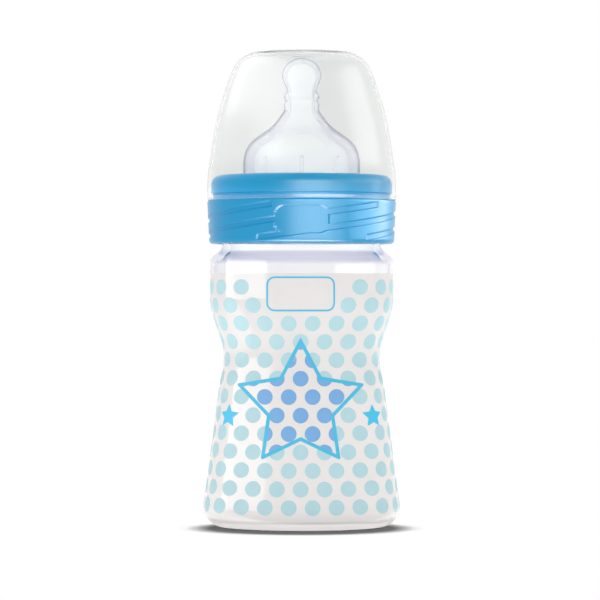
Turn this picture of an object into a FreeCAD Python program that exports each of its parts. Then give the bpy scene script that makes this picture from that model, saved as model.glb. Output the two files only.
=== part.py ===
import FreeCAD, Part
import math
import os

# Feeding bottle: a waisted bottle, a silicone teat, a screw collar and a dome cap.
# Millimetres, +Z up, origin at the middle of the base, front facing -Y.

# Bottle body
FOOT_DIA = 61.4          # where the flared side would meet the table if its heel were not rounded
HEEL_ROUND = 6.0
FLARE_TOP_DIA = 50.0     # top of the straight flare
FLARE_TOP_Z = 43.0
WAIST_DIA = 47.2
WAIST_Z = 51.0
BAND_DIA = 55.7          # straight band under the shoulder
BAND_H = 11.8
BODY_H = 81.8            # base to the corner of the shoulder
BODY_WALL = 1.3
FLOOR_THICK = 1.6
PUSH_UP_INSET = 10.7     # foot to the edge of the raised middle of the base
PUSH_UP_H = 2.2
PUSH_UP_SLOPE = 1.6
PUSH_UP_ROUND = 1.0
SHOULDER_H = 2.9         # corner of the shoulder to the foot of the neck
SHOULDER_ROUND = 2.5
NECK_FOOT_ROUND = 4.0
NECK_DIA = 48.0          # neck without its thread
NECK_WALL = 2.2
NECK_H = 17.3            # foot of the neck to its rim
RIM_ROUND = 0.5

# Screw thread, on the neck and in the collar
THREAD_LEAD = 5.0
THREAD_H = 1.6
THREAD_FOOT_W = 2.9
THREAD_CREST_W = 1.3
THREAD_START = 30.0      # where both threads start at the bottom, in degrees
THREAD_RAMP = 25.0       # degrees over which a thread's end fades out
THREAD_TOP_GAP = 1.3     # rim of the neck to its thread
THREAD_RUN_IN = 5.6      # free neck below its thread, where the collar's thread ends
THREAD_GAP = 0.4         # crest to the wall that it faces
FLANK_GAP = 0.3          # between the two threads where they bear
COLLAR_TURNS = 1.25
BITE = 0.3               # how far a ridge, rib or nib is rooted in its wall

# Screw collar
COLLAR_WALL = 1.6
COLLAR_FOOT_GAP = 1.4    # foot of the neck to the collar's lower edge
CEILING_THICK = 1.7
CROWN_H = 7.6            # step that the cap sits on, to the top of the collar
CROWN_ROUND = 3.0
CROWN_RECESS = 1.3       # the top is sunk this far round the teat
RECESS_GAP = 2.3         # teat's bead to the side of that recess
EDGE_ROUND = 0.4
LEDGE_W = 1.2
LEDGE_ROUND = 0.7
SNAP_GROOVE_H = 1.9
SNAP_GROOVE_DEPTH = 0.5
GRIP_TAPER = 0.6         # the grip ring's lower edge is this much smaller in radius
GRIP_FOOT_ROUND = 1.2
SKIRT_ROUND = 0.5
HOLE_DIA = 38.0          # opening for the teat
GROOVE_COUNT = 5
GROOVE_W = 2.0
GROOVE_FLOOR_W = 1.5
GROOVE_DEPTH = 0.45
GROOVE_SLOPE = 0.13      # rise per length round the grip
GROOVE_MARGIN = 1.6      # end of a groove's middle line to the edge of the grip
GROOVE_END = -108.0      # where the first groove ends at the top, in degrees
PLATE_W = 16.8           # plain sunk plate at the front of the grip
PLATE_H = 8.6
PLATE_ROUND = 3.4
PLATE_MID = 7.0          # lower edge of the collar to the middle of the plate

# Teat
FLANGE_THICK = 2.0
FLANGE_GAP = 0.6         # flange to the collar's bore
FLANGE_ROUND = 0.4
SEAL_H = 1.6             # lip that seals inside the neck
SEAL_W = 1.2
SEAL_GAP = 0.3
STEM_GAP = 0.4           # teat to the edge of the collar's opening
BEAD_GRIP = 0.7          # bead over the collar's opening
BEAD_H = 1.1
BEAD_GAP = 0.05
BEAD_ROUND = 0.4
TEAT_BASE_STEP = 0.7     # base of the teat, in from its groove for the collar
TEAT_BASE_H = 3.15       # straight base
TEAT_BASE_WALL = 2.6
TEAT_DOME_H = 33.0       # straight base to tip
TEAT_WALL = 1.4
BULB_DIA = 12.0
NIPPLE_NECK_DIA = 9.6
NIPPLE_NECK_DROP = 10.9  # tip down to the narrowest place under the bulb
RING_DIA = 10.9          # two rings round the nipple
RING_DIP_DIA = 9.9
RING_DROPS = (12.1, 14.5)
NIPPLE_FOOT_DIA = 10.5
NIPPLE_FOOT_DROP = 15.6
FLARE_DIAS = (12.0, 17.9, 26.8, 32.9)
FLARE_DROPS = (17.2, 20.9, 24.1, 27.2)
FEED_HOLE_DIA = 0.6
RIB_COUNT = 8            # upright ribs inside the teat's base
RIB_W = 0.9
RIB_DEPTH = 0.6
RIB_H = 9.0
VALVE_ANGLE = 90.0       # air valve in the flange, at the back, in degrees
VALVE_TOP_DIA = 1.8
VALVE_TIP_DIA = 1.1
VALVE_H = 1.6
VALVE_HOLE_DIA = 0.7
VALVE_MARGIN = 0.2       # valve to the seal lip
VENT_W = 1.0             # groove that leads air from the thread to the valve
VENT_DEPTH = 0.5

# Protective cap
CAP_WALL = 1.0
CAP_FIT = 0.15           # cap to the collar's crown
CAP_TOP_GAP = 0.5        # teat's tip to the cap
CAP_TOP_INSET = 15.25    # rim to the edge of the flat top, in radius
CAP_SIDE_INSETS = (1.2, 3.2, 6.7, 9.15)
CAP_SIDE_DROPS = (29.8, 18.8, 7.8, 2.9)
CAP_RIM_ROUND = 0.3
SNAP_COUNT = 6           # small snap bumps inside the rim
SNAP_SPAN = 16.0         # degrees
SNAP_H = 1.0
SNAP_LIFT = 0.5
SNAP_GAP = 0.06

FRONT = -90.0            # degrees

# Heights and radii that the pieces share
neck_r = NECK_DIA / 2
neck_bore_r = neck_r - NECK_WALL
neck_foot_z = BODY_H + SHOULDER_H
rim_z = neck_foot_z + NECK_H
thread_turns = (NECK_H - THREAD_TOP_GAP - THREAD_FOOT_W - THREAD_RUN_IN) / THREAD_LEAD
thread_z = neck_foot_z + THREAD_RUN_IN + THREAD_FOOT_W / 2
thread_taper = (THREAD_FOOT_W - THREAD_CREST_W) / 2 / THREAD_H
thread_pair_w = THREAD_FOOT_W - thread_taper * (THREAD_H + THREAD_GAP)
collar_bore_r = neck_r + THREAD_H + THREAD_GAP
collar_foot_z = neck_foot_z + COLLAR_FOOT_GAP
ceiling_z = rim_z + FLANGE_THICK
ceiling_top_z = ceiling_z + CEILING_THICK
collar_top_z = ceiling_top_z + CROWN_RECESS
ledge_z = collar_top_z - CROWN_H
crown_r = collar_bore_r + COLLAR_WALL
grip_r = crown_r + LEDGE_W
grip_h = ledge_z - collar_foot_z
hole_r = HOLE_DIA / 2
recess_r = hole_r + BEAD_GRIP + RECESS_GAP
teat_base_r = hole_r - STEM_GAP - TEAT_BASE_STEP
teat_bore_r = teat_base_r - TEAT_BASE_WALL
bead_z = ceiling_top_z + BEAD_GAP
teat_dome_z = bead_z + BEAD_H + TEAT_BASE_H
tip_z = teat_dome_z + TEAT_DOME_H
cap_bore_r = crown_r + CAP_FIT
cap_top_z = tip_z + CAP_TOP_GAP + CAP_WALL

SHORTEST = 0.0001
UP = FreeCAD.Vector(0, 0, 1)
ORIGIN = FreeCAD.Vector(0, 0, 0)


def at(radius, z):
    """Point of an outline, in the plane that is turned round the Z axis."""
    return FreeCAD.Vector(radius, 0, z)


def polar(radius, degrees, z=0.0):
    angle = math.radians(degrees)
    return FreeCAD.Vector(radius * math.cos(angle), radius * math.sin(angle), z)


def rounded(corners):
    """Edges along (radius, z, rounding) corners, each inner corner a tangent arc."""
    points = [at(radius, z) for radius, z, _ in corners]
    edges = []
    last = points[0]
    for index in range(1, len(points) - 1):
        corner = points[index]
        back = (points[index - 1] - corner).normalize()
        ahead = (points[index + 1] - corner).normalize()
        rounding = corners[index][2]
        half = back.getAngle(ahead) / 2
        reach = rounding / math.tan(half)
        if reach < SHORTEST:
            edges.append(Part.makeLine(last, corner))
            last = corner
            continue
        first = corner + back * reach
        second = corner + ahead * reach
        bisector = (back + ahead).normalize()
        middle = corner + bisector * (rounding / math.sin(half) - rounding)
        if last.distanceToPoint(first) > SHORTEST:
            edges.append(Part.makeLine(last, first))
        edges.append(Part.Arc(first, middle, second).toShape())
        last = second
    edges.append(Part.makeLine(last, points[-1]))
    return edges


def spline(points, first_way, last_way):
    curve = Part.BSplineCurve()
    curve.interpolate(Points=points, InitialTangent=first_way, FinalTangent=last_way)
    return curve


def inset(curve, first_wall, last_wall, count=9):
    """Spline on the left of a curve, at a wall thickness that changes evenly along it."""
    start, end = curve.FirstParameter, curve.LastParameter
    points = []
    for step in range(count):
        share = step / (count - 1)
        place = start + (end - start) * share
        way = curve.tangent(place)[0]
        wall = first_wall + (last_wall - first_wall) * share
        points.append(curve.value(place) + FreeCAD.Vector(-way.z, 0, way.x) * wall)
    return spline(points, curve.tangent(start)[0], curve.tangent(end)[0])


def backwards(edges):
    return [edge.reversed() for edge in reversed(edges)]


def turned(edges):
    """Solid made by turning a closed outline once round the Z axis."""
    outline = Part.Wire(Part.__sortEdges__(edges))
    return Part.Face(outline).revolve(ORIGIN, UP, 360)


def tube(inner_r, outer_r, low, height):
    outer = Part.makeCylinder(outer_r, height, at(0, low))
    return outer.cut(Part.makeCylinder(inner_r, height, at(0, low)))


def joined(solid, additions):
    return solid.fuse(additions).removeSplitter()


def end_ramp(root_r, crest_r, end_degrees, inward, z):
    """Wedge that takes off a thread's end, from its root at the end to its crest further in."""
    past = (crest_r - root_r) / THREAD_H
    root = root_r - past * BITE
    crest = crest_r + past * BITE
    beyond = crest_r + past * 2 * THREAD_H
    ramp = end_degrees + inward * THREAD_RAMP
    outside = end_degrees - inward * THREAD_RAMP / 2
    corners = [
        polar(root, end_degrees),
        polar(crest, ramp),
        polar(beyond, ramp),
        polar(beyond, outside),
        polar(root, outside),
    ]
    wedge = Part.Face(Part.makePolygon(corners + corners[:1])).extrude(UP * THREAD_FOOT_W * 2)
    wedge.translate(UP * (z - THREAD_FOOT_W))
    return wedge


def thread(root_r, crest_r, low, turns):
    """Right-hand thread ridge whose middle line starts at a height."""
    inside = root_r - (crest_r - root_r) / THREAD_H * BITE
    inside_half = THREAD_FOOT_W / 2 + thread_taper * BITE
    crest_half = THREAD_CREST_W / 2
    section = [
        at(inside, -inside_half),
        at(crest_r, -crest_half),
        at(crest_r, crest_half),
        at(inside, inside_half),
    ]
    path = Part.Wire(Part.makeHelix(THREAD_LEAD, THREAD_LEAD * turns, root_r).Edges)
    ridge = path.makePipeShell([Part.makePolygon(section + section[:1])], True, True)
    ridge.translate(UP * low)
    ridge = ridge.cut(end_ramp(root_r, crest_r, 0, 1, low))
    ridge = ridge.cut(end_ramp(root_r, crest_r, 360 * turns, -1, low + THREAD_LEAD * turns))
    ridge.rotate(ORIGIN, UP, THREAD_START)
    return ridge


def body_side(wall):
    """Side of the bottle from the flare up to the band, moved in by a wall."""
    flare_r = FLARE_TOP_DIA / 2 - wall
    waist_r = WAIST_DIA / 2 - wall
    band_r = BAND_DIA / 2 - wall
    band_z = BODY_H - BAND_H
    stations = [
        at(flare_r, FLARE_TOP_Z),
        at(waist_r, WAIST_Z),
        at((waist_r + band_r) / 2, (WAIST_Z + band_z) / 2),
        at(band_r, band_z),
    ]
    flare = at((FLARE_TOP_DIA - FOOT_DIA) / 2, FLARE_TOP_Z)
    return [spline(stations, flare, UP).toShape()]


def bottle_body():
    foot_r = FOOT_DIA / 2
    flare_top_r = FLARE_TOP_DIA / 2
    push_r = foot_r - PUSH_UP_INSET
    band_r = BAND_DIA / 2
    band_z = BODY_H - BAND_H
    inner_foot_r = foot_r - BODY_WALL - FLOOR_THICK * (foot_r - flare_top_r) / FLARE_TOP_Z
    inner_round = HEEL_ROUND - BODY_WALL
    base = rounded([
        (0, PUSH_UP_H, 0),
        (push_r, PUSH_UP_H, PUSH_UP_ROUND),
        (push_r + PUSH_UP_SLOPE, 0, PUSH_UP_ROUND),
        (foot_r, 0, HEEL_ROUND),
        (flare_top_r, FLARE_TOP_Z, 0),
    ])
    top = rounded([
        (band_r, band_z, 0),
        (band_r, BODY_H, SHOULDER_ROUND),
        (neck_r, neck_foot_z, NECK_FOOT_ROUND),
        (neck_r, rim_z, RIM_ROUND),
        (neck_bore_r, rim_z, RIM_ROUND),
        (neck_bore_r, neck_foot_z - BODY_WALL, NECK_FOOT_ROUND / 2),
        (band_r - BODY_WALL, BODY_H - BODY_WALL, SHOULDER_ROUND - BODY_WALL),
        (band_r - BODY_WALL, band_z, 0),
    ])
    floor = rounded([
        (flare_top_r - BODY_WALL, FLARE_TOP_Z, 0),
        (inner_foot_r, FLOOR_THICK, inner_round),
        (push_r + PUSH_UP_SLOPE, FLOOR_THICK, PUSH_UP_ROUND),
        (push_r, PUSH_UP_H + FLOOR_THICK, PUSH_UP_ROUND),
        (0, PUSH_UP_H + FLOOR_THICK, 0),
        (0, PUSH_UP_H, 0),
    ])
    shell = turned(base + body_side(0) + top + backwards(body_side(BODY_WALL)) + floor)
    return joined(shell, [thread(neck_r, neck_r + THREAD_H, thread_z, thread_turns)])


def collar_shell():
    groove_r = crown_r - SNAP_GROOVE_DEPTH
    crown_round = min(CROWN_ROUND, crown_r - recess_r - EDGE_ROUND)
    groove_top = ledge_z + SNAP_GROOVE_H
    return turned(rounded([
        (collar_bore_r, ceiling_z, 0),
        (collar_bore_r, collar_foot_z, SKIRT_ROUND),
        (grip_r - GRIP_TAPER, collar_foot_z, GRIP_FOOT_ROUND),
        (grip_r, ledge_z, LEDGE_ROUND),
        (groove_r, ledge_z, 0),
        (groove_r, groove_top, 0),
        (crown_r, groove_top, SNAP_GROOVE_DEPTH / 2),
        (crown_r, collar_top_z, crown_round),
        (recess_r, collar_top_z, EDGE_ROUND),
        (recess_r, ceiling_top_z, EDGE_ROUND),
        (hole_r, ceiling_top_z, EDGE_ROUND),
        (hole_r, ceiling_z, 0),
        (collar_bore_r, ceiling_z, 0),
    ]))


def grip_groove(end_degrees):
    """Blunt-ended groove that climbs round the tapered grip and ends at an angle."""
    taper = GRIP_TAPER / grip_h
    low_r = grip_r - GRIP_TAPER + taper * GROOVE_MARGIN
    climb = grip_h - 2 * GROOVE_MARGIN
    lead = 2 * math.pi * grip_r * GROOVE_SLOPE
    path = Part.makeHelix(lead, climb, low_r, math.degrees(math.atan(taper)))
    floor_half = GROOVE_FLOOR_W / 2
    open_half = GROOVE_W - floor_half
    section = [
        at(low_r - GROOVE_DEPTH, -floor_half),
        at(low_r + GROOVE_DEPTH, -open_half),
        at(low_r + GROOVE_DEPTH, open_half),
        at(low_r - GROOVE_DEPTH, floor_half),
    ]
    groove = Part.Wire(path.Edges).makePipeShell([Part.makePolygon(section + section[:1])], True, True)
    groove.rotate(ORIGIN, UP, end_degrees - 360 * climb / lead)
    groove.translate(UP * (collar_foot_z + GROOVE_MARGIN))
    return groove


def front_plate():
    """Plain plate sunk into the front of the grip, as deep as the grooves."""
    half_w = PLATE_W / 2
    half_h = PLATE_H / 2
    middle = collar_foot_z + PLATE_MID
    block = Part.makeBox(PLATE_W, 2 * grip_r, PLATE_H, FreeCAD.Vector(-half_w, -2 * grip_r, middle - half_h))
    along = [edge for edge in block.Edges if abs(edge.tangentAt(edge.FirstParameter).y) > 0.5]
    block = block.makeFillet(PLATE_ROUND, along)
    taper = GRIP_TAPER / grip_h
    floor_r = grip_r - GRIP_TAPER + taper * PLATE_MID - GROOVE_DEPTH
    low_r = floor_r - taper * half_h
    high_r = floor_r + taper * half_h
    return block.cut(Part.makeCone(low_r, high_r, PLATE_H, at(0, middle - half_h)))


def screw_collar():
    bearing_z = thread_z - thread_pair_w - FLANK_GAP
    ridge = thread(collar_bore_r, collar_bore_r - THREAD_H, bearing_z, COLLAR_TURNS)
    collar = joined(collar_shell(), [ridge])
    cuts = [front_plate()]
    for index in range(GROOVE_COUNT):
        cuts.append(grip_groove(GROOVE_END + 360 * index / GROOVE_COUNT))
    return collar.cut(cuts)


def nipple_side():
    """Outer curve from the teat's straight base up to the widest place of the bulb."""
    foot = at(NIPPLE_FOOT_DIA / 2, tip_z - NIPPLE_FOOT_DROP)
    flare = [at(dia / 2, tip_z - drop) for dia, drop in zip(reversed(FLARE_DIAS), reversed(FLARE_DROPS))]
    shoulder = spline([at(teat_base_r, teat_dome_z)] + flare + [foot], UP, UP)
    dip = at(RING_DIP_DIA / 2, tip_z - sum(RING_DROPS) / 2)
    rings = [at(RING_DIA / 2, tip_z - drop) for drop in RING_DROPS]
    neck = at(NIPPLE_NECK_DIA / 2, tip_z - NIPPLE_NECK_DROP)
    bulb = at(BULB_DIA / 2, tip_z - BULB_DIA / 2)
    return shoulder, spline([foot, rings[1], dip, rings[0], neck, bulb], UP, UP)


def teat_shell():
    seal_r = neck_bore_r - SEAL_GAP
    bulb_r = BULB_DIA / 2
    bulb_z = tip_z - bulb_r
    neck_bore = NIPPLE_NECK_DIA / 2 - TEAT_WALL
    foot_z = tip_z - NIPPLE_FOOT_DROP
    shoulder, nipple = nipple_side()
    hollow = inset(shoulder, TEAT_BASE_WALL, NIPPLE_FOOT_DIA / 2 - neck_bore)
    inner_bulb_r = bulb_r - TEAT_WALL
    inner_neck = at(neck_bore, tip_z - NIPPLE_NECK_DROP)
    inner_bulb = at(inner_bulb_r, bulb_z)
    lean = 1 / math.sqrt(2)
    foot = rounded([
        (teat_bore_r, teat_dome_z, 0),
        (teat_bore_r, rim_z, FLANGE_ROUND),
        (seal_r - SEAL_W, rim_z, FLANGE_ROUND),
        (seal_r - SEAL_W, rim_z - SEAL_H, FLANGE_ROUND),
        (seal_r, rim_z - SEAL_H, FLANGE_ROUND),
        (seal_r, rim_z, 0),
        (collar_bore_r - FLANGE_GAP, rim_z, FLANGE_ROUND),
        (collar_bore_r - FLANGE_GAP, ceiling_z, FLANGE_ROUND),
        (hole_r - STEM_GAP, ceiling_z, 0),
        (hole_r - STEM_GAP, bead_z, 0),
        (hole_r + BEAD_GRIP, bead_z, BEAD_ROUND),
        (hole_r + BEAD_GRIP, bead_z + BEAD_H, BEAD_ROUND),
        (teat_base_r, bead_z + BEAD_H, BEAD_ROUND),
        (teat_base_r, teat_dome_z, 0),
    ])
    outer_tip = Part.Arc(
        at(bulb_r, bulb_z), at(bulb_r * lean, bulb_z + bulb_r * lean), at(0, tip_z)).toShape()
    inner_tip = Part.Arc(
        at(0, tip_z - TEAT_WALL), at(inner_bulb_r * lean, bulb_z + inner_bulb_r * lean), inner_bulb).toShape()
    return turned(foot + [
        shoulder.toShape(),
        nipple.toShape(),
        outer_tip,
        Part.makeLine(at(0, tip_z), at(0, tip_z - TEAT_WALL)),
        inner_tip,
        spline([inner_bulb, inner_neck], UP * -1, UP * -1).toShape(),
        Part.makeLine(inner_neck, at(neck_bore, foot_z)),
        hollow.toShape(),
    ])


def teat_ribs():
    ribs = []
    for index in range(RIB_COUNT):
        corner = FreeCAD.Vector(teat_bore_r - RIB_DEPTH, -RIB_W / 2, ceiling_z - FLANGE_THICK / 2)
        rib = Part.makeBox(RIB_DEPTH + BITE, RIB_W, RIB_H, corner)
        rib.rotate(ORIGIN, UP, FRONT + 360 * index / RIB_COUNT)
        ribs.append(rib)
    return ribs


def teat():
    valve_r = neck_bore_r - SEAL_GAP - SEAL_W - VALVE_MARGIN - VALVE_TOP_DIA / 2
    nib = Part.makeCone(
        VALVE_TIP_DIA / 2, VALVE_TOP_DIA / 2, VALVE_H + BITE, polar(valve_r, VALVE_ANGLE, rim_z - VALVE_H))
    vent = Part.makeBox(
        collar_bore_r - valve_r, VENT_W, VENT_DEPTH, FreeCAD.Vector(valve_r, -VENT_W / 2, ceiling_z - VENT_DEPTH))
    vent.rotate(ORIGIN, UP, VALVE_ANGLE)
    valve_hole = Part.makeCylinder(
        VALVE_HOLE_DIA / 2, FLANGE_THICK + VALVE_H, polar(valve_r, VALVE_ANGLE, rim_z - VALVE_H))
    feed_hole = Part.makeCylinder(FEED_HOLE_DIA / 2, 2 * TEAT_WALL, at(0, tip_z - 1.5 * TEAT_WALL))
    solid = joined(teat_shell(), teat_ribs() + [nib])
    return solid.cut([vent, valve_hole, feed_hole])


def protective_cap():
    rim_r = cap_bore_r + CAP_WALL
    sides = [at(rim_r - step, cap_top_z - drop) for step, drop in zip(CAP_SIDE_INSETS, CAP_SIDE_DROPS)]
    edge = at(rim_r - CAP_TOP_INSET, cap_top_z)
    straight_z = collar_top_z - CROWN_ROUND
    outer = spline([at(rim_r, straight_z)] + sides + [edge], UP, at(-1, 0))
    inner = inset(outer, CAP_WALL, CAP_WALL)
    rim = rounded([
        (cap_bore_r, straight_z, 0),
        (cap_bore_r, ledge_z, CAP_RIM_ROUND),
        (rim_r, ledge_z, CAP_RIM_ROUND),
        (rim_r, straight_z, 0),
    ])
    inner_edge = edge - UP * CAP_WALL
    dome = turned(rim + [
        outer.toShape(),
        Part.makeLine(edge, at(0, cap_top_z)),
        Part.makeLine(at(0, cap_top_z), at(0, cap_top_z - CAP_WALL)),
        Part.makeLine(at(0, cap_top_z - CAP_WALL), inner_edge),
        inner.toShape(),
    ])
    bumps = []
    for index in range(SNAP_COUNT):
        ring = tube(crown_r + SNAP_GAP, cap_bore_r + BITE, ledge_z + SNAP_LIFT, SNAP_H)
        sector = Part.makeCylinder(cap_bore_r + BITE, SNAP_H, at(0, ledge_z + SNAP_LIFT), UP, SNAP_SPAN)
        bump = ring.common(sector)
        bump.rotate(ORIGIN, UP, 360 * index / SNAP_COUNT)
        bumps.append(bump)
    return joined(dome, bumps)


def main():
    os.makedirs("parts", exist_ok=True)
    nodes = {
        "bottle_body": bottle_body(),
        "teat": teat(),
        "screw_collar": screw_collar(),
        "protective_cap": protective_cap(),
    }
    for name, shape in nodes.items():
        print(name, shape.isValid(), len(shape.Solids), round(shape.Volume, 1))
        shape.exportStep("parts/" + name + ".step")
    turn = 360 * thread_turns
    print("unscrews over", round(turn, 1), "degrees and lifts", round(thread_turns * THREAD_LEAD, 3))
    print("heights", neck_foot_z, rim_z, collar_foot_z, ledge_z, collar_top_z, tip_z, cap_top_z)


main()
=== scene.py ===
"""Looks of a small feeding bottle: printed body, clear teat, blue screw collar and clear dome cap."""
import math
import bmesh
import bpy
import numpy as np
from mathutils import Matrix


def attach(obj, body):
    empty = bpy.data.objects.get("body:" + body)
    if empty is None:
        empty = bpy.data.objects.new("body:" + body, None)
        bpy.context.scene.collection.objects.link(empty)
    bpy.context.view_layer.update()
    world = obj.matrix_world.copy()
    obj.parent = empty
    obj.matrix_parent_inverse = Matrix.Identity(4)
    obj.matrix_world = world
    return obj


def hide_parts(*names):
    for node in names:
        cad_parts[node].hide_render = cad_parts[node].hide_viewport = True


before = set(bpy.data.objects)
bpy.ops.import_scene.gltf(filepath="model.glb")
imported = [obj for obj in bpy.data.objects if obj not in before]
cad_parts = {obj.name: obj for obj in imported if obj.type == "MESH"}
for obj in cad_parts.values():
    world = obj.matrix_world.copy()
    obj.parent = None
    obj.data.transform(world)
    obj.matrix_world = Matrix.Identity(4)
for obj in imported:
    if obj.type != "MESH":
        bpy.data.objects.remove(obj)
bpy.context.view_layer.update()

MM = 0.001
FRONT = math.radians(-90)
BACK = math.radians(90)

# Sizes of the pieces in millimetres, as they follow from the part's source
FOOT_R = 30.7
HEEL_ROUND = 6.0
FLARE_TOP = (25.0, 43.0)
WAIST = (23.6, 51.0)
BAND_R = 27.85
BAND_FOOT_Z = 70.0
BODY_H = 81.8
BODY_WALL = 1.3
FLOOR_THICK = 1.6
PUSH_R = 20.0
PUSH_H = 2.2
PUSH_SLOPE = 1.6
PUSH_ROUND = 1.0
SHOULDER_ROUND = 2.5
NECK_R = 24.0
NECK_BORE_R = 21.8
NECK_FOOT_Z = 84.7
NECK_FOOT_ROUND = 4.0
RIM_Z = 102.0
RIM_ROUND = 0.5
THREAD_LEAD = 5.0
THREAD_H = 1.6
THREAD_FOOT_HALF = 1.45
THREAD_CREST_HALF = 0.65
THREAD_START = math.radians(30)
THREAD_RAMP = math.radians(25)
NECK_THREAD_Z = 91.75
NECK_THREAD_TURNS = 1.5
COLLAR_THREAD_Z = 89.55
COLLAR_THREAD_TURNS = 1.25
COLLAR_BORE_R = 26.0
COLLAR_FOOT_Z = 86.1
CEILING_Z = 104.0
CEILING_TOP_Z = 105.7
COLLAR_TOP_Z = 107.0
LEDGE_Z = 99.4
CROWN_R = 27.6
CROWN_ROUND = 3.0
GRIP_R = 28.8
GRIP_TAPER = 0.6
GRIP_FOOT_ROUND = 1.2
SKIRT_ROUND = 0.5
LEDGE_ROUND = 0.7
EDGE_ROUND = 0.4
SNAP_GROOVE_R = 27.1
SNAP_GROOVE_TOP_Z = 101.3
HOLE_R = 19.0
RECESS_R = 22.0
GROOVE_COUNT = 5
GROOVE_HALF = 1.0
GROOVE_FLOOR_HALF = 0.75
GROOVE_DEPTH = 0.45
GROOVE_SLOPE = 0.13
GROOVE_MARGIN = 1.6
GROOVE_END = math.radians(-108)
PLATE_HALF_W = 8.4
PLATE_HALF_H = 4.3
PLATE_ROUND = 3.4
PLATE_Z = 93.1
FLANGE_R = 25.4
FLANGE_ROUND = 0.4
SEAL_R = 21.5
SEAL_W = 1.2
SEAL_H = 1.6
STEM_R = 18.6
BEAD_R = 19.7
BEAD_Z = 105.75
BEAD_H = 1.1
BEAD_ROUND = 0.4
TEAT_BASE_R = 17.9
TEAT_BORE_R = 15.3
TEAT_DOME_Z = 110.0
TEAT_BASE_WALL = TEAT_BASE_R - TEAT_BORE_R
TIP_Z = 143.0
TEAT_WALL = 1.4
BULB_R = 6.0
NIPPLE_NECK_R = 4.8
NIPPLE_NECK_DROP = 10.9
RING_R = 5.45
RING_DIP_R = 4.95
RING_DROPS = (12.1, 14.5)
NIPPLE_FOOT_R = 5.25
NIPPLE_FOOT_DROP = 15.6
TEAT_FLARE = ((16.45, 27.2), (13.4, 24.1), (8.95, 20.9), (6.0, 17.2))
FEED_HOLE_R = 0.3
RIB_COUNT = 8
RIB_HALF_W = 0.45
RIB_CREST_R = 14.7
RIB_LOW_Z = 103.0
RIB_HIGH_Z = 112.0
VALVE_Y = 19.2
VALVE_TOP_R = 0.9
VALVE_TIP_R = 0.55
VALVE_HOLE_R = 0.35
VALVE_H = 1.6
CAP_BORE_R = 27.75
CAP_WALL = 1.0
CAP_TOP_Z = 144.5
CAP_STRAIGHT_Z = 104.0
CAP_SIDE = ((27.55, 114.7), (25.55, 125.7), (22.05, 136.7), (19.6, 141.6))
CAP_TOP_R = 13.5
CAP_RIM_ROUND = 0.3
SNAP_COUNT = 6
SNAP_SPAN = math.radians(16)
SNAP_LOW_Z = 99.9
SNAP_HIGH_Z = 100.9
SNAP_REACH = 0.09

# Steps round the pieces and along their walls, and small edges and marks in millimetres
BODY_STEPS = 160
COLLAR_STEPS = 400
CAP_STEPS = 360
VALVE_STEPS = 24
FLOOR_STEPS = 64
FLARE_STEP = 1.5
BAND_STEP = 2.0
NECK_STEP = 0.2
GRIP_STEP = 0.13
BORE_STEP = 0.3
TEAT_STEP = 0.5
JOIN = 1.0
PLATE_EDGE = 0.25
GROOVE_RUN_OUT = 0.4
RIB_SIDE = 0.1
VALVE_ROOT = 0.3
VALVE_EDGE = 0.08
NECK_CURVE_H = 4.0
CAP_TOP_SHARES = (0.75, 0.5, 0.25)
GATE = ((1.7, 0.0), (1.5, 0.12), (1.0, 0.22), (0.0, 0.25))
SEAT_ROUND = 0.2
CROWN_FOOT_ROUND = 0.25
RIB_FOOT_EDGE = 0.04
SNAP_SIDES = (0.15, 0.1)
CLOSE = 0.01

AXIS = 0.0001
UP = (0.0, 1.0)
DOWN = (0.0, -1.0)
INWARD = (-1.0, 0.0)


# Outlines that are turned into pieces

def unit(way):
    return np.array(way) / np.linalg.norm(way)


def arc(middle, radius, turns):
    """Points on a circle at some turns."""
    return [(middle[0] + radius * math.cos(a), middle[1] + radius * math.sin(a)) for a in turns]


def rounded(corners, steps=7):
    """Points along (radius, z, rounding) corners, each inner corner a tangent arc."""
    places = [np.array(corner[:2], float) for corner in corners]
    points = [places[0]]
    for index in range(1, len(places) - 1):
        corner = places[index]
        back = unit(places[index - 1] - corner)
        ahead = unit(places[index + 1] - corner)
        half = math.acos(np.clip(np.dot(back, ahead), -1, 1)) / 2
        rounding = corners[index][2]
        reach = rounding / math.tan(half)
        if reach < AXIS:
            points.append(corner)
            continue
        middle = unit(back + ahead) * (rounding / math.sin(half))
        first = back * reach - middle
        sweep = math.pi - 2 * half
        last = ahead * reach - middle
        way = math.copysign(1, first[0] * last[1] - first[1] * last[0])
        turns = math.atan2(first[1], first[0]) + way * sweep * np.linspace(0, 1, steps + 1)
        points += [np.array(place) for place in arc(corner + middle, rounding, turns)]
    points.append(places[-1])
    return points


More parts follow.
